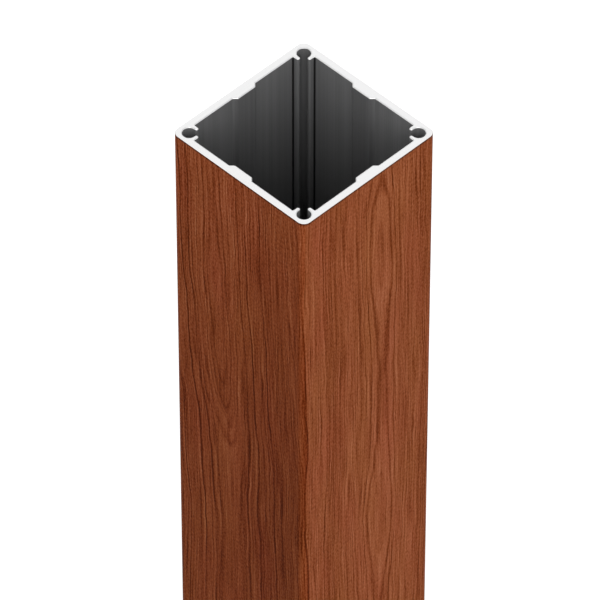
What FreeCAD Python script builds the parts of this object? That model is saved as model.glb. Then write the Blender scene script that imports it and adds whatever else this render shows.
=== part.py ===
import FreeCAD, Part
import math
import os

# Metal fence post: one aluminium extrusion, a square tube with a screw port in each corner
# and a thickened pad inside each wall. Both ends are plain square saw cuts.
# The post stands on the origin, +Z up, with its walls facing X and Y. All sizes in millimetres.

# Overall
length = 1800.0
side = 65.0
corner_radius = 3.0
wall = 3.0

# Screw ports: C-shaped channels that a self-tapping screw cuts its thread in, open to the centre
port_diameter = 5.0
port_skin = 1.9
lip_thickness = 1.45
port_mouth = 2.65

# Pads: extra metal inside each wall, for the screws of brackets and rails
pad_top_width = 8.4
pad_rise = 1.4
pad_slope_run = 1.4
front_pad_shift = 1.3

# Small radii that the die leaves along the section
pad_edge_radius = 0.8
inner_radius = 0.3

# Distances from the post's axis, worked out from the sizes above
half = side / 2
wall_face = half - wall
port_radius = port_diameter / 2
port_centre = half - port_skin - port_radius
lip_radius = port_radius + lip_thickness
lip_flank = port_centre - lip_radius
tip_radius = lip_thickness / 2

# The lip tips stand half a mouth and one tip radius off the section's diagonal
tip_offset = port_mouth / 2 + tip_radius
tip_angle = math.degrees(math.asin(tip_offset / (port_radius + tip_radius)))
to_post_axis = 225.0
first_tip = to_post_axis - tip_angle
second_tip = to_post_axis + tip_angle


def point(x, y):
    return FreeCAD.Vector(x, y, 0)


def on_circle(centre, radius, degrees):
    angle = math.radians(degrees)
    return centre + FreeCAD.Vector(radius * math.cos(angle), radius * math.sin(angle), 0)


def line(start, end):
    return Part.LineSegment(start, end).toShape()


def arc(centre, radius, start_degrees, end_degrees):
    """An arc from one angle to the other, clockwise where the angle falls."""
    middle_degrees = (start_degrees + end_degrees) / 2
    start, middle, end = (on_circle(centre, radius, a) for a in (start_degrees, middle_degrees, end_degrees))
    return Part.Arc(start, middle, end).toShape()


def rounded_run(corners):
    """Straight runs through the corners, each given as (point, radius), joined by tangent arcs."""
    edges = []
    at = corners[0][0]
    for (before, _), (corner, radius), (after, _) in zip(corners, corners[1:], corners[2:]):
        back = (before - corner).normalize()
        ahead = (after - corner).normalize()
        half_turn = back.getAngle(ahead) / 2
        reach = radius / math.tan(half_turn)
        centre = corner + (back + ahead).normalize() * (radius / math.sin(half_turn))
        start = corner + back * reach
        end = corner + ahead * reach
        middle = centre + (corner - centre).normalize() * radius
        edges.append(line(at, start))
        edges.append(Part.Arc(start, middle, end).toShape())
        at = end
    edges.append(line(at, corners[-1][0]))
    return edges


def wall_run(pad_shift):
    """Inside of the +Y wall, from the flank of one port to the flank of the next, over the pad."""
    top = pad_top_width / 2
    foot = top + pad_slope_run
    pad_face = wall_face - pad_rise
    return rounded_run([
        (point(-lip_flank, port_centre), 0),
        (point(-lip_flank, wall_face), inner_radius),
        (point(pad_shift - foot, wall_face), inner_radius),
        (point(pad_shift - top, pad_face), pad_edge_radius),
        (point(pad_shift + top, pad_face), pad_edge_radius),
        (point(pad_shift + foot, wall_face), inner_radius),
        (point(lip_flank, wall_face), inner_radius),
        (point(lip_flank, port_centre), 0),
    ])


def port_run():
    """Inside of the corner at +X +Y: lip, round tip, port, round tip and lip again."""
    centre = point(port_centre, port_centre)
    first_centre = on_circle(centre, port_radius + tip_radius, first_tip)
    second_centre = on_circle(centre, port_radius + tip_radius, second_tip)
    return [
        arc(centre, lip_radius, 180, first_tip),
        arc(first_centre, tip_radius, first_tip, first_tip + 180),
        arc(centre, port_radius, first_tip, second_tip - 360),
        arc(second_centre, tip_radius, second_tip - 180, second_tip),
        arc(centre, lip_radius, second_tip, 270),
    ]


def turned(edges, degrees):
    """The edges turned about the post's axis."""
    return [edge.rotated(point(0, 0), FreeCAD.Vector(0, 0, 1), degrees) for edge in edges]


def inner_wire():
    """The whole inner outline, clockwise from the +Y wall: a wall and the port after it, four times.

    The pads of the two walls at the front corner, +X and -Y, lie off the middle, away from that corner.
    """
    pad_shifts = {"+Y": 0.0, "+X": -front_pad_shift, "-Y": front_pad_shift, "-X": 0.0}
    edges = []
    for turns, shift in enumerate(pad_shifts.values()):
        edges += turned(wall_run(shift) + port_run(), -90 * turns)
    return Part.Wire(edges)


def outer_wire():
    """The square outside with its rounded corners."""
    edges = []
    for degrees in (0, -90, -180, -270):
        run = [
            line(point(corner_radius - half, half), point(half - corner_radius, half)),
            arc(point(half - corner_radius, half - corner_radius), corner_radius, 90, 0),
        ]
        edges += turned(run, degrees)
    return Part.Wire(edges)


def post():
    section = Part.makeFace([outer_wire(), inner_wire()], "Part::FaceMakerBullseye")
    return section.extrude(FreeCAD.Vector(0, 0, length))


def main():
    os.makedirs("parts", exist_ok=True)
    solid = post()
    solid.exportStep("parts/post.step")
    print("post:", solid.ShapeType, "valid", solid.isValid(), "faces", len(solid.Faces))
    print("section", round(solid.Volume / length, 1), "mm2, volume", round(solid.Volume), "mm3")


main()
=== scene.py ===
# %% [markdown]
# # A wood-grain aluminium fence post
#
# The real post is one aluminium extrusion. A press pushes hot metal through a steel die, so every
# slice across the post has the same outline: a square tube with a C-shaped screw port in each
# corner and a thickened pad inside each wall. The outside is powder coated, and a film prints wood
# grain into the coat. A saw then cuts the length, which leaves bare bright metal at both ends.
#
# This script makes the post in the same order: first the die's outline, then the press, then the
# finishes, and last the studio. All lengths are in metres, and `MM` turns millimetres into them.

# %% Open the frame
import math

import bpy
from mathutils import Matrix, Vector


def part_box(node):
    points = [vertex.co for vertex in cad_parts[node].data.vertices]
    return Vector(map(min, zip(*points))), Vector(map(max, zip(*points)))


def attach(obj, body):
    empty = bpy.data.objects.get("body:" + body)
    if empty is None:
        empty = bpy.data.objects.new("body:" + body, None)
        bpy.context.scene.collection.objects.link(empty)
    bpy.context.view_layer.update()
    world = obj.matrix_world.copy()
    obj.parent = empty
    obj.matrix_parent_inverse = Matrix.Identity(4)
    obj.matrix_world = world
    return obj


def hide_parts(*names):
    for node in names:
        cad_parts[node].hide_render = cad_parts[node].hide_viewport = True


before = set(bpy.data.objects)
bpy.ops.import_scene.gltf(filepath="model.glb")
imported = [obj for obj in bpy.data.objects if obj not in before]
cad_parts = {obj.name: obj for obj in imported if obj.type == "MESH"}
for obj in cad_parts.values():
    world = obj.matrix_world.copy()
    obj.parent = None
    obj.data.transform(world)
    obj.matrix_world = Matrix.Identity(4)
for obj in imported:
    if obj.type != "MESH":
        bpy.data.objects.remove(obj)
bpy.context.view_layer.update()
MM = 0.001
low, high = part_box("post")
SIDE = high[0] - low[0]
LENGTH = high[2] - low[2]
print(f"post: side {SIDE / MM:.1f} mm, length {LENGTH / MM:.1f} mm")

# %% [markdown]
# ## The die's outline
#
# An extrusion is all in its section, so this is where the care goes. Straight runs need only their
# ends, and each bend is an arc. One function rounds the corners of a run, which keeps the list of
# points short enough to check against a drawing. The outline is made in plain Python because
# tangent arcs are easier to read as a few lines of geometry than as a web of nodes.

# %% Sizes of the section
CORNER_RADIUS = 3.0 * MM
WALL = 3.0 * MM
PORT_RADIUS = 2.5 * MM
PORT_SKIN = 1.9 * MM
LIP_THICKNESS = 1.45 * MM
PORT_MOUTH = 2.65 * MM
PAD_TOP_WIDTH = 8.4 * MM
PAD_RISE = 1.4 * MM
PAD_SLOPE_RUN = 1.4 * MM
FRONT_PAD_SHIFT = 1.3 * MM
PAD_EDGE_RADIUS = 0.8 * MM
INNER_RADIUS = 0.3 * MM

HALF = SIDE / 2
WALL_FACE = HALF - WALL
PORT_CENTRE = HALF - PORT_SKIN - PORT_RADIUS
LIP_RADIUS = PORT_RADIUS + LIP_THICKNESS
LIP_FLANK = PORT_CENTRE - LIP_RADIUS
TIP_RADIUS = LIP_THICKNESS / 2
TIP_ANGLE = math.degrees(math.asin((PORT_MOUTH / 2 + TIP_RADIUS) / (PORT_RADIUS + TIP_RADIUS)))
wrap = 360 - 2 * TIP_ANGLE
print(f"screw ports: {2 * PORT_CENTRE / MM:.1f} mm apart, each wraps {wrap:.0f} degrees")


# %% Arcs and rounded corners
def on_circle(centre, radius, degrees):
    angle = math.radians(degrees)
    return centre[0] + radius * math.cos(angle), centre[1] + radius * math.sin(angle)


def arc(centre, radius, start, end, steps):
    """Points along an arc, both ends included. It runs clockwise where the angle falls."""
    angles = [start + (end - start) * i / steps for i in range(steps + 1)]
    return [on_circle(centre, radius, angle) for angle in angles]


BEND_STEPS = 5


def rounded(before, corner, after, radius):
    """The arc that rounds one corner of a run."""
    back = math.atan2(before[1] - corner[1], before[0] - corner[0])
    ahead = math.atan2(after[1] - corner[1], after[0] - corner[0])
    turn = math.remainder(ahead - back, math.tau)
    reach = radius / math.sin(abs(turn) / 2)
    centre = on_circle(corner, reach, math.degrees(back + turn / 2))
    half_circle = math.copysign(180, turn)
    start = math.degrees(back) - half_circle / 2
    return arc(centre, radius, start, start + math.degrees(turn) - half_circle, BEND_STEPS)


def turned(points, degrees):
    """The points turned about the post's axis."""
    cos, sin = math.cos(math.radians(degrees)), math.sin(math.radians(degrees))
    return [(x * cos - y * sin, x * sin + y * cos) for x, y in points]


# %% [markdown]
# Both outlines run with the metal on their left, so the outside goes anticlockwise and the inside
# clockwise, and the right-hand side of a run always points out of the metal. The outside starts in
# the corner that faces away from the camera, because the printed film has its joint there.
#
# Smooth shading spreads a bend's turned normals over the long flat beside it, which would show as
# a false curve. Guard points just inside each end of a straight run keep the bend to itself. They
# also bound the painted shade in the crease beside each screw port's lip, which the mill finish
# reads later.

# %% Outside and inside outlines
CORNER_STEPS = 12
TIP_STEPS = 12
BORE_STEPS = 40


def outside_outline():
    """Anticlockwise from the middle of the corner at -X +Y."""
    inset = HALF - CORNER_RADIUS
    far, left, front, right = (-inset, inset), (-inset, -inset), (inset, -inset), (inset, inset)
    return (
        arc(far, CORNER_RADIUS, 135, 180, CORNER_STEPS // 2)
        + arc(left, CORNER_RADIUS, 180, 270, CORNER_STEPS)
        + arc(front, CORNER_RADIUS, 270, 360, CORNER_STEPS)
        + arc(right, CORNER_RADIUS, 0, 90, CORNER_STEPS)
        + arc(far, CORNER_RADIUS, 90, 135, CORNER_STEPS // 2)
    )


def wall_run(pad_shift):
    """Inside of the +Y wall, from one port's flank over the pad to the next port's flank."""
    top, foot = PAD_TOP_WIDTH / 2, PAD_TOP_WIDTH / 2 + PAD_SLOPE_RUN
    pad_face = WALL_FACE - PAD_RISE
    corners = [
        ((-LIP_FLANK, PORT_CENTRE), 0),
        ((-LIP_FLANK, WALL_FACE), INNER_RADIUS),
        ((pad_shift - foot, WALL_FACE), INNER_RADIUS),
        ((pad_shift - top, pad_face), PAD_EDGE_RADIUS),
        ((pad_shift + top, pad_face), PAD_EDGE_RADIUS),
        ((pad_shift + foot, WALL_FACE), INNER_RADIUS),
        ((LIP_FLANK, WALL_FACE), INNER_RADIUS),
        ((LIP_FLANK, PORT_CENTRE), 0),
    ]
    points = []
    for (before, _), (corner, radius), (after, _) in zip(corners, corners[1:], corners[2:]):
        points += rounded(before, corner, after, radius)
    return points


def port_run():
    """Inside of the corner at +X +Y: lip, round tip, bore, round tip and lip again."""
    centre = (PORT_CENTRE, PORT_CENTRE)
    first, second = 225 - TIP_ANGLE, 225 + TIP_ANGLE
    first_tip = on_circle(centre, PORT_RADIUS + TIP_RADIUS, first)
    second_tip = on_circle(centre, PORT_RADIUS + TIP_RADIUS, second)
    return (
        arc(centre, LIP_RADIUS, 180, first, 1)
        + arc(first_tip, TIP_RADIUS, first, first + 180, TIP_STEPS)[1:]
        + arc(centre, PORT_RADIUS, first, second - 360, BORE_STEPS)[1:]
        + arc(second_tip, TIP_RADIUS, second - 180, second, TIP_STEPS)[1:]
        + arc(centre, LIP_RADIUS, second, 270, 1)[1:]
    )


def inside_outline():
    """Clockwise from the +Y wall. The pads beside the front corner lie off the middle."""
    pad_shifts = {"+Y": 0.0, "+X": -FRONT_PAD_SHIFT, "-Y": FRONT_PAD_SHIFT, "-X": 0.0}
    points = []
    for turns, shift in enumerate(pad_shifts.values()):
        points += turned(wall_run(shift) + port_run(), -90 * turns)
    return points + points[:1]


# How far the guard points lie from the end of a run
GUARDS = (0.1 * MM, 0.3 * MM)


def guarded(points):
    """Adds two points just inside both ends of each straight run."""
    result = points[:1]
    for start, end in zip(points, points[1:]):
        run = math.dist(start, end)
        if run > 3 * GUARDS[1]:
            shares = [reach / run for reach in GUARDS]
            for share in shares + [1 - share for share in reversed(shares)]:
                result.append(tuple(a + (b - a) * share for a, b in zip(start, end)))
        result.append(end)
    return result


outside, inside = guarded(outside_outline()), guarded(inside_outline())
print(f"outline: {len(outside)} points outside, {len(inside)} inside")

# %% [markdown]
# The saw leaves a sharp rim, and a file then breaks it. So each point of the outline carries the
# direction in which its edge moves when it is broken. A file would chip the coat and is mostly
# kept off it, so the directions of the outside are shorter. The points also carry their distance
# round the post, which becomes the UV map, whether they lie in the hollow, and how much painted
# shade darkens the metal there.

# %% Outline as edges that know their outward direction
COAT_BREAK_SHARE = 0.3
# Painted shade on the pads, as a share of the painted shade in the creases
PAD_PAINTED_SHADE = 0.22
ROUNDING_SLACK = 0.01 * MM


def outward_directions(points, reach=1.0):
    """Directions out of the metal, halfway between the runs that meet at each point."""
    ways = []
    for (ax, ay), (bx, by) in zip(points, points[1:]):
        run = math.hypot(bx - ax, by - ay)
        ways.append(((by - ay) / run, (ax - bx) / run))
    result = []
    for before, after in zip([ways[-1]] + ways, ways + [ways[0]]):
        x, y = before[0] + after[0], before[1] + after[1]
        size = math.hypot(x, y) / reach
        result.append((x / size, y / size, 0.0))
    return result


def distances(points):
    """How far along the run each point lies."""
    total, result = 0.0, [0.0]
    for start, end in zip(points, points[1:]):
        total += math.dist(start, end)
        result.append(total)
    return result


def painted_shade_share(x, y):
    """Painted shade on the metal: fully in the tight bend beside a lip, a little on the pads."""
    near, far = sorted((abs(x), abs(y)))
    reach = INNER_RADIUS + GUARDS[0] + ROUNDING_SLACK
    if far > WALL_FACE - reach and LIP_FLANK - reach < near < LIP_FLANK + reach:
        return 1.0
    on_pad = far < WALL_FACE - PAD_RISE / 2 and near < PAD_TOP_WIDTH
    return PAD_PAINTED_SHADE if on_pad else 0.0


def outline_mesh():
    """Both outlines as open chains of edges, each ending where it began."""
    mesh = bpy.data.meshes.new("post_outline")
    points = outside + inside
    edges = [(i, i + 1) for i in range(len(points) - 1) if i != len(outside) - 1]
    mesh.from_pydata([(x, y, 0.0) for x, y in points], edges, [])
    film = distances(outside)
    values = {
        "around": [distance - film[-1] / 2 for distance in film] + distances(inside),
        "hollow": [0.0] * len(outside) + [1.0] * len(inside),
        # Painted shade for the mill finish: full in the creases beside the lips, a little on the
        # pads
        "painted_shade": [0.0] * len(outside) + [painted_shade_share(x, y) for x, y in inside],
    }
    for name, numbers in values.items():
        mesh.attributes.new(name, "FLOAT", "POINT").data.foreach_set("value", numbers)
    directions = outward_directions(outside, COAT_BREAK_SHARE) + outward_directions(inside)
    flat = [part for direction in directions for part in direction]
    mesh.attributes.new("outward", "FLOAT_VECTOR", "POINT").data.foreach_set("vector", flat)
    return mesh, film[-1]


outline, FILM_WIDTH = outline_mesh()
print(f"film: {FILM_WIDTH / MM:.1f} mm round the post")

# %% [markdown]
# ## The press
#
# A press is a natural job for Geometry Nodes: the tree takes the outline's edges and extrudes them
# step by step along Z, so length, edge break and steps stay open to change as named inputs. The
# first and last few steps also move the edge along its outward direction, which rounds the rims.
# Face corners get a UV map that holds real distances, round the post and along it, before the
# seam is welded. Grain laid on that map bends round the corners as the film does.

# %% Helpers for node trees
def feed(tree, socket, value):
    """Links a socket to another, or sets a plain value on it."""
    if isinstance(value, bpy.types.NodeSocket):
        tree.links.new(value, socket)
    else:
        socket.default_value = value


def add(tree, kind, **settings):
    """A new node. Names in small letters are its properties, and the others its inputs.

    An underscore stands for a space in an input's name.
    """
    node = tree.nodes.new(kind)
    for name, value in settings.items():
        if name[0].islower():
            setattr(node, name, value)
        else:
            feed(tree, node.inputs[name.replace("_", " ")], value)
    return node


def output(tree, kind, **settings):
    """The first output of a new node."""
    return add(tree, kind, **settings).outputs[0]


def calc(tree, operation, *values):
    """The result of a Math node on sockets or numbers."""
    node = tree.nodes.new("ShaderNodeMath")
    node.operation = operation
    for socket, value in zip(node.inputs, values):
        feed(tree, socket, value)
    return node.outputs[0]


def new_group(kind, name, inputs, outputs):
    """A node group with its sockets, and the sockets of its input and output nodes."""
    tree = bpy.data.node_groups.new(name, kind)
    for in_out, sockets in (("INPUT", inputs), ("OUTPUT", outputs)):
        for socket_name, (socket_kind, default) in sockets.items():
            made = tree.interface.new_socket(socket_name, in_out=in_out, socket_type=socket_kind)
            if default is not None:
                made.default_value = default
    given = tree.nodes.new("NodeGroupInput").outputs
    result = tree.nodes.new("NodeGroupOutput").inputs
    return tree, given, result


# %% Values that the mesh carries
def carried(tree, data_type, name):
    """Reads a value that the mesh carries under a name."""
    return output(tree, "GeometryNodeInputNamedAttribute", data_type=data_type, Name=name)


def store(tree, geometry, data_type, domain, name, value):
    """Keeps a value on the mesh under a name, for later nodes and for the materials."""
    kind = "GeometryNodeStoreNamedAttribute"
    node = add(tree, kind, data_type=data_type, domain=domain, Geometry=geometry, Name=name)
    feed(tree, node.inputs["Value"], value)
    return node.outputs[0]


def joined(tree, *parts):
    """Several geometries as one."""
    node = tree.nodes.new("GeometryNodeJoinGeometry")
    for part in parts:
        feed(tree, node.inputs[0], part)
    return node.outputs[0]


# %% One extruding step
def moved_out(tree, amount):
    """The outward direction times an amount."""
    outward = carried(tree, "FLOAT_VECTOR", "outward")
    return output(tree, "ShaderNodeVectorMath", operation="SCALE", Vector=outward, Scale=amount)


def extrude(tree, geometry, rim, outward_step, up_step):
    """Extrudes the rim's edges outwards and upwards. Gives the geometry and its new rim."""
    step = add(tree, "ShaderNodeVectorMath", operation="ADD")
    feed(tree, step.inputs[0], moved_out(tree, outward_step))
    feed(tree, step.inputs[1], output(tree, "ShaderNodeCombineXYZ", Z=up_step))
    node = add(tree, "GeometryNodeExtrudeMesh", mode="EDGES", Mesh=geometry, Selection=rim)
    feed(tree, node.inputs["Offset"], step.outputs[0])
    feed(tree, node.inputs["Offset Scale"], 1.0)
    return node.outputs["Mesh"], node.outputs["Top"]


BREAK_STEPS = 3


def break_rim(tree, geometry, rim, edge_break, opening):
    """Rounds the rim over a quarter circle, outwards at the foot and inwards at the head."""
    angles = [math.pi / 2 * i / BREAK_STEPS for i in range(BREAK_STEPS + 1)]
    shares = []
    for start, end in zip(angles, angles[1:]):
        shares.append((math.sin(end) - math.sin(start), math.cos(start) - math.cos(end)))
    if not opening:
        shares = [(-out, up) for out, up in reversed(shares)]
    for out, up in shares:
        outward_step = calc(tree, "MULTIPLY", edge_break, out)
        up_step = calc(tree, "MULTIPLY", edge_break, up)
        geometry, rim = extrude(tree, geometry, rim, outward_step, up_step)
    return geometry, rim


def draw_out(tree, geometry, rim, distance, segments):
    """Repeats the extruding step along the straight length."""
    start = tree.nodes.new("GeometryNodeRepeatInput")
    end = tree.nodes.new("GeometryNodeRepeatOutput")
    start.pair_with_output(end)
    end.repeat_items.new("BOOLEAN", "Rim")
    feed(tree, start.inputs["Iterations"], segments)
    feed(tree, start.inputs["Geometry"], geometry)
    feed(tree, start.inputs["Rim"], rim)
    step = calc(tree, "DIVIDE", distance, segments)
    longer, next_rim = extrude(tree, start.outputs["Geometry"], start.outputs["Rim"], 0.0, step)
    feed(tree, end.inputs["Geometry"], longer)
    feed(tree, end.inputs["Rim"], next_rim)
    return end.outputs["Geometry"], end.outputs["Rim"]


# %% The two saw cuts
WELD = 0.002 * MM


def saw_cuts(tree, rim_outline, length, place):
    """The flat faces at the foot and the head, filled between the two outlines."""
    closed = output(tree, "GeometryNodeMergeByDistance", Geometry=rim_outline, Distance=WELD)
    rings = output(tree, "GeometryNodeMeshToCurve", Mesh=closed)
    fill = output(tree, "GeometryNodeFillCurve", mode="TRIANGLES", Curve=rings)
    lift = output(tree, "ShaderNodeCombineXYZ", Z=length)
    foot = output(tree, "GeometryNodeFlipFaces", Mesh=fill)
    head = output(tree, "GeometryNodeSetPosition", Geometry=fill, Offset=lift)
    flat_map = output(tree, "ShaderNodeCombineXYZ", X=place["X"], Y=place["Y"])
    cuts = store(tree, joined(tree, foot, head), "FLOAT2", "CORNER", "UVMap", flat_map)
    return store(tree, cuts, "BOOLEAN", "FACE", "cut", True)


# %% The press as a node tree
def finish_faces(tree, geometry, given, place):
    """Coat outside, mill finish in the hollow, bright metal on the cuts and their inner rim."""
    hollow = calc(tree, "GREATER_THAN", carried(tree, "FLOAT", "hollow"), 0.5)
    head_rim = calc(tree, "SUBTRACT", given["Length"], given["Edge break"])
    at_foot = calc(tree, "LESS_THAN", place["Z"], given["Edge break"])
    at_head = calc(tree, "GREATER_THAN", place["Z"], head_rim)
    inner_rim = calc(tree, "MULTIPLY", hollow, calc(tree, "MAXIMUM", at_foot, at_head))
    bare = calc(tree, "MAXIMUM", carried(tree, "BOOLEAN", "cut"), inner_rim)
    geometry = output(tree, "GeometryNodeRealizeInstances", Geometry=geometry)
    for material, faces in (("Coat", True), ("Mill finish", hollow), ("Cut metal", bare)):
        node = add(tree, "GeometryNodeSetMaterial", Geometry=geometry, Selection=faces)
        feed(tree, node.inputs["Material"], given[material])
        geometry = node.outputs[0]
    return geometry


def extrusion_press():
    tree, given, result = new_group(
        "GeometryNodeTree",
        "extrusion_press",
        {
            "Outline": ("NodeSocketGeometry", None),
            "Length": ("NodeSocketFloat", 1.0),
            "Edge break": ("NodeSocketFloat", 0.2 * MM),
            "Segments": ("NodeSocketInt", 12),
            "Coat": ("NodeSocketMaterial", None),
            "Mill finish": ("NodeSocketMaterial", None),
            "Cut metal": ("NodeSocketMaterial", None),
        },
        {"Post": ("NodeSocketGeometry", None)},
    )
    length, edge_break = given["Length"], given["Edge break"]
    inset = moved_out(tree, calc(tree, "MULTIPLY", edge_break, -1.0))
    start = output(tree, "GeometryNodeSetPosition", Geometry=given["Outline"], Offset=inset)
    straight = calc(tree, "SUBTRACT", length, calc(tree, "MULTIPLY", edge_break, 2.0))

    walls, rim = break_rim(tree, start, True, edge_break, opening=True)
    walls, rim = draw_out(tree, walls, rim, straight, given["Segments"])
    walls, rim = break_rim(tree, walls, rim, edge_break, opening=False)

    position = tree.nodes.new("GeometryNodeInputPosition").outputs[0]
    place = add(tree, "ShaderNodeSeparateXYZ", Vector=position).outputs
    around = carried(tree, "FLOAT", "around")
    wall_map = output(tree, "ShaderNodeCombineXYZ", X=around, Y=place["Z"])
    walls = store(tree, walls, "FLOAT2", "CORNER", "UVMap", wall_map)
    cuts = saw_cuts(tree, start, length, place)

    shaded = []
    for part, smooth in ((walls, True), (cuts, False)):
        node = add(tree, "GeometryNodeSetShadeSmooth", Geometry=part)
        feed(tree, node.inputs["Shade Smooth"], smooth)
        shaded.append(node.outputs[0])
    whole = joined(tree, *shaded)
    welded = output(tree, "GeometryNodeMergeByDistance", Geometry=whole, Distance=WELD)
    feed(tree, result["Post"], finish_faces(tree, welded, given, place))
    return tree


PRESS = extrusion_press()
print(f"press: {len(PRESS.nodes)} nodes")

# %% [markdown]
# ## Streaks, the pattern that all three finishes share
#
# Wood fibres, die lines and saw marks look different but have one thing in common: they are noise
# that is drawn out far in one direction. So there is one shader group for all of them. It takes
# distances in millimetres, how wide a streak is and how far it runs, and gives a value that
# swings about zero. Each finish sets its own pitch and run.

# %% The streak group
def long_streaks():
    tree, given, result = new_group(
        "ShaderNodeTree",
        "long_streaks",
        {
            "Across": ("NodeSocketFloat", 0.0),
            "Along": ("NodeSocketFloat", 0.0),
            "Drift": ("NodeSocketFloat", 0.0),
            "Pitch": ("NodeSocketFloat", 1.0),
            "Run": ("NodeSocketFloat", 40.0),
            "Strength": ("NodeSocketFloat", 1.0),
        },
        {"Swing": ("NodeSocketFloat", None)},
    )
    across = calc(tree, "DIVIDE", given["Across"], given["Pitch"])
    along = calc(tree, "DIVIDE", given["Along"], given["Run"])
    where = output(tree, "ShaderNodeCombineXYZ", X=across, Y=along, Z=given["Drift"])
    noise = add(tree, "ShaderNodeTexNoise", Vector=where, Scale=1.0, Detail=1.0, Roughness=0.5)
    swing = calc(tree, "MULTIPLY_ADD", noise.outputs[0], 2.0, -1.0)
    feed(tree, result["Swing"], calc(tree, "MULTIPLY", swing, given["Strength"]))
    return tree


STREAKS = long_streaks()
print(f"{STREAKS.name}: {len(STREAKS.nodes)} nodes")


def streaks(tree, across, along, pitch, run, strength, drift=0.0):
    """Places the streak group in a material. Another drift gives another pattern."""
    node = add(tree, "ShaderNodeGroup", node_tree=STREAKS, Across=across, Along=along, Drift=drift)
    for name, value in (("Pitch", pitch), ("Run", run), ("Strength", strength)):
        feed(tree, node.inputs[name], value)
    return node.outputs[0]


# %% Helpers for colours and materials
def srgb(red, green, blue):
    """A colour as a picture shows it, 0 to 255, made linear for a socket."""
    linear = []
    for part in (red / 255, green / 255, blue / 255):
        linear.append(part / 12.92 if part <= 0.04045 else ((part + 0.055) / 1.055) ** 2.4)
    return (*linear, 1.0)


def new_material(name):
    """A material, its tree, its Principled shader, and the two distances of the UV map in mm."""
    material = bpy.data.materials.new(name)
    material.use_nodes = True
    tree = material.node_tree
    shader = tree.nodes["Principled BSDF"]
    uv = output(tree, "ShaderNodeUVMap", uv_map="UVMap")
    in_mm = output(tree, "ShaderNodeVectorMath", operation="SCALE", Vector=uv, Scale=1 / MM)
    place = add(tree, "ShaderNodeSeparateXYZ", Vector=in_mm).outputs
    return material, tree, shader, place["X"], place["Y"]


# A Mix node's two inputs and its output, for numbers and for colours
MIX_SOCKETS = {"FLOAT": (2, 3, 0), "RGBA": (6, 7, 2)}


def mix(tree, share, a, b, kind="FLOAT", **settings):
    """The result of a Mix node, from a at share 0 to b at share 1."""
    first, second, result = MIX_SOCKETS[kind]
    node = add(tree, "ShaderNodeMix", data_type=kind, **settings)
    for socket, value in ((0, share), (first, a), (second, b)):
        feed(tree, node.inputs[socket], value)
    return node.outputs[result]


def between(tree, value, start, end):
    """Rises from 0 to 1 as the value goes from start to end."""
    node = add(tree, "ShaderNodeMapRange", Value=value, clamp=True)
    feed(tree, node.inputs["From Min"], start)
    feed(tree, node.inputs["From Max"], end)
    return node.outputs[0]


# %% [markdown]
# ## The printed wood grain
#
# The film is printed from a photograph of flat-sawn boards. A saw that runs along a log cuts its
# rings almost lengthwise, so they reach the face as long nested arches. One formula makes them:
# the distance from the board's heart line, pushed up near the heart by a pinch that rises and
# falls along the board. Where the pinch outgrows a ring, that ring closes into an arch, and a
# further term keeps the arch pointed as it crosses the heart. The heart line and the pinch are
# drawn as curves, one pair for each of the two boards on the film.

# %% The ring group
def growth_rings():
    tree, given, result = new_group(
        "ShaderNodeTree",
        "growth_rings",
        {
            "Across": ("NodeSocketFloat", 0.0),
            "Heart": ("NodeSocketFloat", 0.0),
            "Pinch": ("NodeSocketFloat", 10.0),
            "Point": ("NodeSocketFloat", 2.0),
            "Fade": ("NodeSocketFloat", 20.0),
        },
        {"Ring": ("NodeSocketFloat", None)},
    )
    off_heart = calc(tree, "ABSOLUTE", calc(tree, "SUBTRACT", given["Across"], given["Heart"]))
    share = calc(tree, "DIVIDE", off_heart, given["Fade"])
    fading = calc(tree, "MULTIPLY_ADD", share, share, 1.0)
    pinch = calc(tree, "DIVIDE", given["Pinch"], fading)
    pointed = calc(tree, "MULTIPLY_ADD", off_heart, given["Point"], pinch)
    squared = calc(tree, "MULTIPLY_ADD", off_heart, off_heart, pointed)
    feed(tree, result["Ring"], calc(tree, "SQRT", squared))
    return tree


RINGS = growth_rings()
print(f"{RINGS.name}: {len(RINGS.nodes)} nodes")

# %% Curves and ramps drawn from listed points
PRINT_REPEAT = 640.0


def drawn(tree, along, points):
    """A value drawn along the print from (millimetres below the print's start, value) pairs."""
    lowest = min(value for _, value in points)
    reach = max(value for _, value in points) - lowest
    node = add(tree, "ShaderNodeFloatCurve", Value=along)
    curve = node.mapping.curves[0]
    curve.points[0].location = (0.0, (points[0][1] - lowest) / reach)
    curve.points[1].location = (1.0, (points[-1][1] - lowest) / reach)
    for down, value in points[1:-1]:
        curve.points.new(down / PRINT_REPEAT, (value - lowest) / reach)
    node.mapping.update()
    return calc(tree, "MULTIPLY_ADD", node.outputs[0], reach, lowest)


def ramp(tree, value, stops, reach=1.0):
    """A colour ramp from (place, colour) pairs, where a plain number stands for a grey."""
    node = add(tree, "ShaderNodeValToRGB", Fac=calc(tree, "DIVIDE", value, reach))
    elements = node.color_ramp.elements
    elements.remove(elements[1])
    for i, (place, colour) in enumerate(stops):
        element = elements[0] if i == 0 else elements.new(place / reach)
        element.position = place / reach
        element.color = (colour, colour, colour, 1.0) if isinstance(colour, float) else colour
    return node.outputs[0]


# %% The strong rings
MID_TONE = 0.5
BOARD_REACH = 34.0
PALE_EDGE = 0.25


def ring_tones(tree, ring, core, lines):
    """Tones of a board: its core, then a thin dark line with a pale edge at each strong ring.

    A line is (ring, half its width, how much darker it is, the tone after it).
    """
    stops = [(0.0, core)]
    before = core
    for place, half_width, darker, after in lines:
        stops += [
            (place - half_width, before),
            (place, before - darker),
            (place + 0.8 * half_width, after + PALE_EDGE * darker),
            (place + 2 * half_width, after),
        ]
        before = after
    return ramp(tree, ring, stops, BOARD_REACH)


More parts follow.
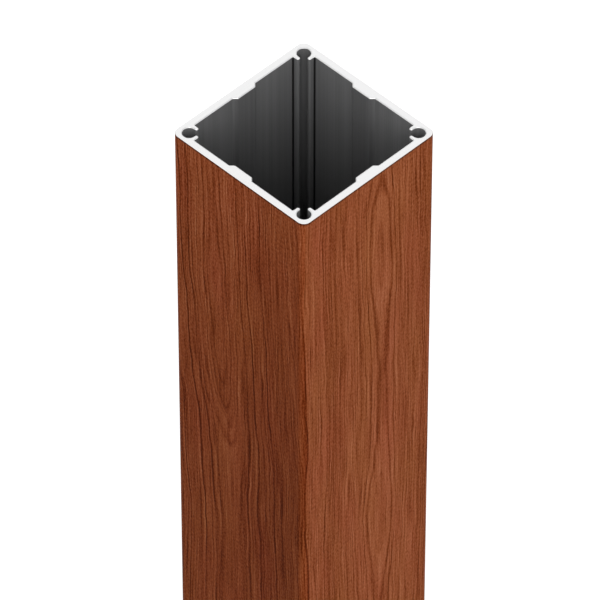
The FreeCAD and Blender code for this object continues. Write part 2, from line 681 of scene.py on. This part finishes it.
# %% The left board: tall arches that close low down
# Down the print: where the heart lies, how strong the pinch is, and how strong the rings are
LEFT_BOARD = {
    "heart": [
        (0, -13.6), (20, -12.5), (50, -11.9), (80, -9.6), (100, -8.6), (120, -6.8), (140, -5),
        (160, -4.9), (185, -3.5), (230, -4), (300, -7), (380, -12), (460, -9), (550, -14),
        (640, -13.6),
    ],
    "pinch": [
        (0, 68), (30, 66), (60, 56), (85, 58), (100, 66), (112, 78), (122, 95), (140, 125),
        (160, 150), (190, 160), (230, 150), (290, 60), (360, 15), (440, 110), (530, 50),
        (640, 68),
    ],
    "strength": [
        (0, 0.65), (60, 1.15), (130, 1.15), (165, 1), (195, 0.6), (240, 0.5), (400, 1.1),
        (640, 0.65),
    ],
    "core": 0.54,
    "lines": [
        (8.6, 0.3, 0.2, 0.54),
        (9.6, 0.35, 0.28, 0.54),
        (13.6, 0.4, 0.2, 0.5),
        (15.0, 0.5, 0.41, 0.5),
        (18.3, 0.6, 0.48, 0.5),
        (24.9, 0.45, 0.34, 0.5),
        (29.2, 0.45, 0.28, 0.5),
    ],
}

# %% The right board: narrow eyes, one above the other
RIGHT_BOARD = {
    "heart": [
        (0, 5.5), (20, 5), (50, 5.9), (80, 6.7), (130, 7.1), (170, 6), (200, 6.5), (320, -3),
        (430, -6), (540, 1), (640, 5.5),
    ],
    "pinch": [
        (0, 64), (10, 50), (20, 32), (48, 24), (62, 36), (80, 49), (92, 51), (100, 55), (108, 51),
        (122, 51), (140, 41), (152, 30), (162, 17), (172, 12), (186, 17), (205, 40), (240, 55),
        (330, 24), (430, 8), (540, 48), (640, 64),
    ],
    "strength": [
        (0, 0.8), (40, 1.1), (70, 1.1), (100, 0.9), (160, 1), (300, 0.7), (450, 1), (640, 0.8),
    ],
    "core": 0.53,
    "lines": [
        (5.3, 0.35, 0.08, 0.59),
        (7.75, 0.75, 0.3, 0.55),
        (9.5, 0.4, 0.36, 0.52),
        (11.4, 0.35, 0.14, 0.51),
        (13.4, 0.35, 0.1, 0.5),
        (20.5, 0.5, 0.05, 0.42),
        (29.6, 0.4, 0.2, 0.5),
    ],
}
for name, drawing in (("left", LEFT_BOARD), ("right", RIGHT_BOARD)):
    print(f"{name} board: {len(drawing['lines'])} strong rings")


def board(tree, across, along, drawing):
    """Rings and their tones on one board."""
    rings = add(tree, "ShaderNodeGroup", node_tree=RINGS, Across=across)
    feed(tree, rings.inputs["Heart"], drawn(tree, along, drawing["heart"]))
    feed(tree, rings.inputs["Pinch"], drawn(tree, along, drawing["pinch"]))
    ring = rings.outputs[0]
    tones = ring_tones(tree, ring, drawing["core"], drawing["lines"])
    swing = calc(tree, "SUBTRACT", tones, MID_TONE)
    strength = drawn(tree, along, drawing["strength"])
    return ring, calc(tree, "MULTIPLY_ADD", swing, strength, MID_TONE)


# %% [markdown]
# The boards lie side by side on the film, one on each face that the camera sees. The joint
# between them wavers down the front corner, and from a short way below the head a thin dark line
# marks it. The hidden faces take the same two boards again, turned end for end. Between the
# strong rings lie fine ones, about 1.5 mm apart, each a thin dark line that fades to light, and
# over them run straight fibres and pores. All of it is put into one tone first, and a colour ramp
# then turns tone into wood.

# %% Where a point lies on the film
FACE_WIDTH = FILM_WIDTH / MM / 4
LENGTH_IN_MM = LENGTH / MM
# Down the print: how far the joint lies to the right of the corner's middle
JOINT = [
    (0, 0.5), (25, 0.3), (45, 0), (56, 0.3), (80, 0.9), (95, 1.1), (104, 1.5), (114, 1.8),
    (122, 1.4), (132, 0.9), (150, 0.7), (162, 1), (175, 1.9), (190, 2.1), (230, 0.6),
    (330, -0.8), (430, 1.4), (540, 0), (640, 0.5),
]
print(f"film: two boards, each {FACE_WIDTH:.1f} mm wide")


def film_place(tree, around, up):
    """Where a point lies on the film.

    Gives the board, 0 left or 1 right, the place across it, the distance down it, that distance
    as a share of the print, and how far to the right of the joint the point lies.
    """
    hidden = calc(tree, "GREATER_THAN", calc(tree, "ABSOLUTE", around), FACE_WIDTH)
    half_turn = calc(tree, "MULTIPLY", calc(tree, "SIGN", around), 2 * FACE_WIDTH)
    side = calc(tree, "SUBTRACT", around, calc(tree, "MULTIPLY", half_turn, hidden))
    down = mix(tree, hidden, calc(tree, "SUBTRACT", LENGTH_IN_MM, up), up)
    along = calc(tree, "FRACT", calc(tree, "DIVIDE", down, PRINT_REPEAT))
    off_joint = calc(tree, "SUBTRACT", side, drawn(tree, along, JOINT))
    second = calc(tree, "GREATER_THAN", off_joint, 0.0)
    middle = mix(tree, second, -FACE_WIDTH / 2, FACE_WIDTH / 2)
    sway = streaks(tree, around, down, pitch=16.0, run=45.0, strength=1.0)
    kink = streaks(tree, around, down, pitch=5.0, run=11.0, strength=0.65, drift=7.0)
    wander = calc(tree, "ADD", sway, kink)
    across = calc(tree, "ADD", calc(tree, "SUBTRACT", side, middle), wander)
    return second, across, down, along, off_joint


# %% The dark line along the joint
JOINT_DEPTH = [
    (0, 0), (45, 0.05), (65, 0.22), (100, 0.25), (190, 0.24), (400, 0.2), (640, 0),
]
# The line lies just left of the joint, dark in its core and fading to its edge
LINE_OFFSET = 0.35
LINE_CORE, LINE_EDGE = 0.2, 0.55


def joint_line(tree, along, off_joint):
    """How much darker the tone is where the left board ends."""
    off_line = calc(tree, "ABSOLUTE", calc(tree, "ADD", off_joint, LINE_OFFSET))
    depth = drawn(tree, along, JOINT_DEPTH)
    return calc(tree, "MULTIPLY", between(tree, off_line, LINE_EDGE, LINE_CORE), depth)


# %% Fine rings, fibres and pores
RING_SPACING = 1.5
RING_DEPTH = 0.24
PLAIN_HEART, FIRST_FULL_RING = 6.5, 11.0
USUAL_WEIGHT, LEAST_WEIGHT = 0.9, 0.15
# Share of the way from ring to ring, and how light the wood is there
RING_SHAPE = [(0.0, 0.0), (0.16, 0.9), (0.32, 1.0), (0.8, 0.5), (1.0, 0.0)]
SHAPE_MEAN = 0.6


def fine_rings(tree, ring, down, drift):
    """Fine rings, which come and go along the board and leave its heart plain."""
    uneven = streaks(tree, ring, down, pitch=2.6, run=170.0, strength=2.4, drift=drift)
    count = calc(tree, "DIVIDE", calc(tree, "ADD", ring, uneven), RING_SPACING)
    share = calc(tree, "FRACT", count)
    shape = calc(tree, "SUBTRACT", ramp(tree, share, RING_SHAPE), SHAPE_MEAN)
    fading = streaks(tree, ring, down, pitch=2.2, run=40.0, strength=2.0, drift=11.0)
    weight = calc(tree, "MAXIMUM", calc(tree, "ADD", fading, USUAL_WEIGHT), LEAST_WEIGHT)
    weight = calc(tree, "MULTIPLY", weight, between(tree, ring, PLAIN_HEART, FIRST_FULL_RING))
    return calc(tree, "MULTIPLY", shape, calc(tree, "MULTIPLY", weight, RING_DEPTH))


PORE_DEPTH = 0.12
PORE_RIM, PORE_FLOOR = 0.2, 0.5
# Round the post, the pattern changes over this many millimetres, so no two faces are alike
DRIFT_STEP = 9.0


def fine_grain(tree, ring, across, down, around):
    """The swing in tone of everything finer than the strong rings."""
    drift = calc(tree, "DIVIDE", around, DRIFT_STEP)
    pores = streaks(tree, across, down, pitch=0.5, run=3.0, strength=1.0, drift=drift)
    layers = (
        streaks(tree, ring, down, pitch=4.5, run=160.0, strength=0.03, drift=drift),
        streaks(tree, across, down, pitch=1.0, run=90.0, strength=0.12),
        streaks(tree, across, down, pitch=0.5, run=24.0, strength=0.32, drift=4.0),
        streaks(tree, across, down, pitch=0.45, run=1.2, strength=0.32, drift=8.0),
        calc(tree, "MULTIPLY", between(tree, pores, PORE_RIM, PORE_FLOOR), -PORE_DEPTH),
    )
    swing = fine_rings(tree, ring, down, drift)
    for layer in layers:
        swing = calc(tree, "ADD", swing, layer)
    return swing


# %% [markdown]
# Colour follows tone, but a print is never quite even. Patches a few centimetres long lean
# towards red or yellow. Both boards are palest at the start of the repeat. The right one darkens
# only a little from there. The left one grows much darker and warmer, most of all on the side by
# the joint, partly in its print and partly as painted shade.

# %% Colours of the print
# Each tone, and the colour that it turns into
WOOD = [
    (0.0, srgb(72, 26, 0)),
    (0.27, srgb(100, 43, 10)),
    (0.5, srgb(129, 67, 36)),
    (0.75, srgb(148, 86, 55)),
    (1.0, srgb(168, 110, 78)),
]


def times(tree, colour, tint):
    """A colour multiplied by a tint or a grey."""
    return mix(tree, 1.0, colour, tint, "RGBA", blend_type="MULTIPLY")


# %% Patches that lean towards red or yellow
WHITE = (1.0, 1.0, 1.0, 1.0)
REDDER = (1.02, 0.92, 1.0, 1.0)
YELLOWER = (0.98, 1.02, 0.9, 1.0)
FULL_LEAN = 0.6


def hue_patches(tree, colour, around, down):
    """Lets the colour lean towards red or yellow in long patches."""
    hue = streaks(tree, around, down, pitch=12.0, run=50.0, strength=1.0, drift=20.0)
    for extreme, tint in ((FULL_LEAN, REDDER), (-FULL_LEAN, YELLOWER)):
        share = between(tree, hue, 0.0, extreme)
        colour = times(tree, colour, mix(tree, share, WHITE, tint, "RGBA"))
    return colour


# %% How light each board is, with painted shade on the left one
# Tints of the left board where it is light and where it is dark, partly print and partly painted
# shade
LEFT_PALE = (1.0, 0.91, 0.86, 1.0)
LEFT_DEEP = (1.0, 0.79, 0.58, 1.0)
# Down the print: how light the left board is, partly its print and partly painted shade
LEFT_FALL = [
    (0, 1.25), (30, 1.17), (90, 1.02), (150, 0.93), (260, 0.93), (400, 1), (540, 1.12),
    (640, 1.25),
]
RIGHT_FALL = [(0, 1.07), (45, 1.05), (90, 1.0), (200, 1.0), (400, 1.03), (640, 1.07)]
# Darkening on the left board's side by the joint, partly print and partly painted shade
JOINT_SIDE_SHADE = 0.13
JOINT_SIDE_REACH = 14.0
DEEP_AT, PALE_AT = 0.8, 1.2


def left_print_and_shade(tree, along, across):
    """How light the left board is at a point, partly print and partly painted shade, and its tint.
    """
    joint_side = between(tree, across, 0.0, JOINT_SIDE_REACH)
    darker = calc(tree, "MULTIPLY", joint_side, JOINT_SIDE_SHADE)
    shade = calc(tree, "SUBTRACT", drawn(tree, along, LEFT_FALL), darker)
    tint = mix(tree, between(tree, shade, DEEP_AT, PALE_AT), LEFT_DEEP, LEFT_PALE, "RGBA")
    return shade, tint


# %% Dark line along both cuts
CUT_LINE_REACH = 0.9
CUT_LINE_SHADE = 0.45


def darkened_cut_edges(tree, up):
    """The thin dark line in the coat along both cuts."""
    from_end = calc(tree, "MINIMUM", up, calc(tree, "SUBTRACT", LENGTH_IN_MM, up))
    return mix(tree, between(tree, from_end, CUT_LINE_REACH, CUT_LINE_REACH / 2), 1.0, CUT_LINE_SHADE)


# %% Wood-grain coat
LEFT_CONTRAST, RIGHT_CONTRAST = 1.3, 1.05
COAT_ROUGHNESS, TONE_ROUGHNESS = 0.58, -0.12


def printed_coat():
    coat, tree, shader, around, up = new_material("printed_wood_coat")
    second, across, down, along, off_joint = film_place(tree, around, up)
    left_ring, left_tone = board(tree, across, along, LEFT_BOARD)
    right_ring, right_tone = board(tree, across, along, RIGHT_BOARD)
    ring = mix(tree, second, left_ring, right_ring)
    tone = mix(tree, second, left_tone, right_tone)
    fine = fine_grain(tree, ring, across, down, around)
    contrast = mix(tree, second, LEFT_CONTRAST, RIGHT_CONTRAST)
    tone = calc(tree, "MULTIPLY_ADD", fine, contrast, tone)
    tone = calc(tree, "SUBTRACT", tone, joint_line(tree, along, off_joint))

    # The left board's lightness and tint: partly print, partly painted shade
    left_shade, left_tint = left_print_and_shade(tree, along, across)
    colour = hue_patches(tree, ramp(tree, tone, WOOD), around, down)
    colour = times(tree, colour, mix(tree, second, left_tint, WHITE, "RGBA"))
    right_shade = drawn(tree, along, RIGHT_FALL)
    colour = times(tree, colour, mix(tree, second, left_shade, right_shade))
    # A thin dark line in the coat along both cuts
    colour = times(tree, colour, darkened_cut_edges(tree, up))
    feed(tree, shader.inputs["Base Color"], colour)

    roughness = calc(tree, "MULTIPLY_ADD", tone, TONE_ROUGHNESS, COAT_ROUGHNESS)
    feed(tree, shader.inputs["Roughness"], roughness)
    shader.inputs["Specular IOR Level"].default_value = 0.02
    bump = output(tree, "ShaderNodeBump", Strength=0.35, Distance=0.2 * MM, Height=tone)
    feed(tree, shader.inputs["Normal"], bump)
    return coat


COAT = printed_coat()
print(f"{COAT.name}: {len(COAT.node_tree.nodes)} nodes")

# %% [markdown]
# ## Mill finish and cut metal
#
# Inside, the aluminium is as it left the die: a matte dark grey with faint lines along the press.
# That grey is partly painted shade, because bare aluminium is lighter. The deep tube looks nearly
# black only because little light reaches down it. A value that the mesh carries paints shade into
# the tight crease beside each lip and, a little, onto the pads. The saw leaves the ends bright,
# with marks so fine that they only soften what they mirror.

# %% Mill finish
# Darker than bare aluminium: this grey is partly painted shade of the deep tube
MILL_GREY = (0.21, 0.21, 0.212, 1.0)
# How dark the painted shade makes the creases beside the lips
CREASE_SHADE = 0.05
MILL_ROUGHNESS, LINE_ROUGHNESS = 0.55, 0.3


def mill_finish():
    metal, tree, shader, around, up = new_material("mill_finish")
    lines = streaks(tree, around, up, pitch=0.5, run=400.0, strength=0.16)
    broad = streaks(tree, around, up, pitch=4.0, run=250.0, strength=0.14, drift=5.0)
    shade = calc(tree, "ADD", calc(tree, "ADD", lines, broad), 1.0)
    # Painted shade: darkens the creases beside the lips fully and the pads a little
    painted_shade = add(tree, "ShaderNodeAttribute", attribute_name="painted_shade").outputs["Fac"]
    shade = calc(tree, "MULTIPLY", shade, mix(tree, painted_shade, 1.0, CREASE_SHADE))
    roughness = calc(tree, "MULTIPLY_ADD", lines, LINE_ROUGHNESS, MILL_ROUGHNESS)
    feed(tree, shader.inputs["Base Color"], times(tree, MILL_GREY, shade))
    feed(tree, shader.inputs["Roughness"], roughness)
    shader.inputs["Metallic"].default_value = 0.3
    bump = output(tree, "ShaderNodeBump", Strength=0.3, Distance=0.05 * MM, Height=lines)
    feed(tree, shader.inputs["Normal"], bump)
    return metal


MILL_FINISH = mill_finish()
print(f"{MILL_FINISH.name}: {len(MILL_FINISH.node_tree.nodes)} nodes")

# %% Cut metal
BRIGHT, MARK_SHADE = 0.885, 0.06
CUT_ROUGHNESS, MARK_ROUGHNESS = 0.38, 0.15


def cut_metal():
    metal, tree, shader, across, along = new_material("cut_metal")
    marks = streaks(tree, across, along, pitch=0.25, run=30.0, strength=0.5)
    shade = calc(tree, "MULTIPLY_ADD", marks, MARK_SHADE, BRIGHT)
    grey = output(tree, "ShaderNodeCombineColor", Red=shade, Green=shade, Blue=shade)
    roughness = calc(tree, "MULTIPLY_ADD", marks, MARK_ROUGHNESS, CUT_ROUGHNESS)
    feed(tree, shader.inputs["Base Color"], grey)
    feed(tree, shader.inputs["Roughness"], roughness)
    shader.inputs["Metallic"].default_value = 1.0
    bump = output(tree, "ShaderNodeBump", Strength=0.2, Distance=0.02 * MM, Height=marks)
    feed(tree, shader.inputs["Normal"], bump)
    return metal


CUT_METAL = cut_metal()
print(f"{CUT_METAL.name}: {len(CUT_METAL.node_tree.nodes)} nodes")

# %% Press the post
EDGE_BREAK = 0.3 * MM
SEGMENTS = 12


def pressed_post():
    """Runs the press on the outline and keeps the result as a plain mesh."""
    blank = bpy.data.objects.new("press_blank", outline)
    bpy.context.collection.objects.link(blank)
    press = blank.modifiers.new("press", "NODES")
    press.node_group = PRESS
    values = {
        "Length": LENGTH,
        "Edge break": EDGE_BREAK,
        "Segments": SEGMENTS,
        "Coat": COAT,
        "Mill finish": MILL_FINISH,
        "Cut metal": CUT_METAL,
    }
    for socket in press.node_group.interface.items_tree:
        if socket.in_out == "INPUT" and socket.name in values:
            press[socket.identifier] = values[socket.name]
    seen = blank.evaluated_get(bpy.context.evaluated_depsgraph_get())
    mesh = bpy.data.meshes.new_from_object(seen)
    bpy.data.objects.remove(blank)
    for name in ("outward", "around", "hollow", "cut"):
        if name in mesh.attributes:
            mesh.attributes.remove(mesh.attributes[name])
    while None in list(mesh.materials):
        mesh.materials.pop(index=list(mesh.materials).index(None))
    mesh.name = "extruded_post"
    post = bpy.data.objects.new("extruded_post", mesh)
    bpy.context.collection.objects.link(post)
    return post


post = pressed_post()
print(f"post: {len(post.data.vertices)} points, {len(post.data.polygons)} faces")
for slot, material in enumerate(post.data.materials):
    faces = sum(face.material_index == slot for face in post.data.polygons)
    print(f"{material.name}: {faces} faces")
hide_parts("post")
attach(post, "root")

# %% [markdown]
# ## Studio
#
# The picture has an even white surround and soft lights. The world gives the even part. One light
# stands to the right, lower than the cut end, and leaves the left face about a third darker. The
# front one hangs well above the cut end and aims at it, so it reaches into the top of the tube.
# The back one only fills the hidden faces. The floor is plain and pale. Like the world, it shows
# white to the camera, to gloss and through glass, without more light on the post.

# %% Floor
FLOOR_REACH = 30.0
FLOOR_LIFT = 0.36
FLOOR_SIGNS = ((-1, -1), (1, -1), (1, 1), (-1, 1))


def seen_by_eye(tree):
    """1 for rays from the camera, from gloss or through glass, and 0 for the light itself."""
    rays = tree.nodes.new("ShaderNodeLightPath").outputs
    seen = calc(tree, "MAXIMUM", rays["Is Camera Ray"], rays["Is Glossy Ray"])
    return calc(tree, "MAXIMUM", seen, rays["Is Transmission Ray"])


def floor_material():
    paint = bpy.data.materials.new("studio_floor")
    paint.use_nodes = True
    tree = paint.node_tree
    tree.nodes.remove(tree.nodes["Principled BSDF"])
    pale = add(tree, "ShaderNodeBsdfDiffuse", Color=(0.8, 0.8, 0.8, 1.0))
    strength = calc(tree, "MULTIPLY", seen_by_eye(tree), FLOOR_LIFT)
    lift = add(tree, "ShaderNodeEmission", Strength=strength)
    lit = tree.nodes.new("ShaderNodeAddShader")
    feed(tree, lit.inputs[0], pale.outputs[0])
    feed(tree, lit.inputs[1], lift.outputs[0])
    below = tree.nodes.new("ShaderNodeNewGeometry").outputs["Backfacing"]
    both = add(tree, "ShaderNodeMixShader", Fac=below)
    feed(tree, both.inputs[1], lit.outputs[0])
    feed(tree, both.inputs[2], tree.nodes.new("ShaderNodeBsdfTransparent").outputs[0])
    feed(tree, tree.nodes["Material Output"].inputs["Surface"], both.outputs[0])
    return paint


def studio_floor():
    mesh = bpy.data.meshes.new("studio_floor")
    corners = [(x * FLOOR_REACH, y * FLOOR_REACH, 0.0) for x, y in FLOOR_SIGNS]
    mesh.from_pydata(corners, [], [(0, 1, 2, 3)])
    mesh.materials.append(floor_material())
    plane = bpy.data.objects.new("studio_floor", mesh)
    bpy.context.collection.objects.link(plane)


studio_floor()
print(f"floor: {2 * FLOOR_REACH:.0f} m square at the post's foot")

# %% World and light
SKY_LIGHT = 0.6


def white_surround():
    world = bpy.data.worlds.new("white_surround")
    world.use_nodes = True
    tree = world.node_tree
    sky = tree.nodes["Background"]
    sky.inputs["Color"].default_value = WHITE
    feed(tree, sky.inputs["Strength"], mix(tree, seen_by_eye(tree), SKY_LIGHT, 1.0))
    bpy.context.scene.world = world


def soft_light(name, width, height, watts, place, aim):
    """A rectangular lamp at a place, turned to face a point."""
    lamp = bpy.data.lights.new(name, "AREA")
    lamp.shape = "RECTANGLE"
    lamp.size, lamp.size_y = width, height
    lamp.energy = watts
    holder = bpy.data.objects.new(name, lamp)
    holder.location = place
    away = Vector(place) - Vector(aim)
    holder.rotation_euler = away.to_track_quat("Z", "Y").to_euler()
    bpy.context.collection.objects.link(holder)


white_surround()
MID_HEIGHT = 0.9
soft_light("side_light", 1.6, 1.2, 24.0, (2.2, 0.1, MID_HEIGHT), aim=(0.0, 0.1, MID_HEIGHT))
soft_light("front_light", 1.6, 1.6, 18.0, (1.6, -1.6, 3.1), aim=(0.0, 0.0, LENGTH))
soft_light("back_light", 1.6, 1.6, 12.0, (-1.6, 1.6, MID_HEIGHT), aim=(0.0, 0.0, MID_HEIGHT))
bpy.context.scene.view_settings.view_transform = "Standard"

# %% [markdown]
# ## Camera
#
# The camera looks down on the front corner. Its height, distance and lens were found by laying the
# square's corners and the two vertical edges over the picture: they meet below at a distance that
# only a long lens gives. The aim is given as how far the post's axis lies from the picture's
# middle, at the depth of the cut end.

# %% Camera at the photograph's viewing angle
AZIMUTH = math.radians(45.0)
ELEVATION = math.radians(45.875)
DISTANCE = 2569.453 * MM
AIM_RIGHT = 1.349 * MM
AIM_UP = 57.998 * MM
FOCAL_LENGTH_MM = 445.0
SENSOR_WIDTH_MM = 36.0


def camera():
    lens = bpy.data.cameras.new("camera")
    lens.lens = FOCAL_LENGTH_MM
    lens.sensor_width = SENSOR_WIDTH_MM
    lens.clip_end = 100.0
    holder = bpy.data.objects.new("camera", lens)
    sin_az, cos_az = math.sin(AZIMUTH), math.cos(AZIMUTH)
    sin_el, cos_el = math.sin(ELEVATION), math.cos(ELEVATION)
    forward = (-sin_az * cos_el, cos_az * cos_el, -sin_el)
    right = (cos_az, sin_az, 0.0)
    up = (-sin_az * sin_el, cos_az * sin_el, cos_el)
    head = (0.0, 0.0, LENGTH)
    holder.location = [
        head[i] - DISTANCE * forward[i] - AIM_RIGHT * right[i] - AIM_UP * up[i] for i in range(3)
    ]
    holder.rotation_euler = (math.pi / 2 - ELEVATION, 0.0, AZIMUTH)
    bpy.context.collection.objects.link(holder)
    bpy.context.scene.camera = holder


camera()
angle = math.degrees(ELEVATION)
print(f"camera: {DISTANCE:.2f} m from the cut end, {angle:.1f} degrees above it")
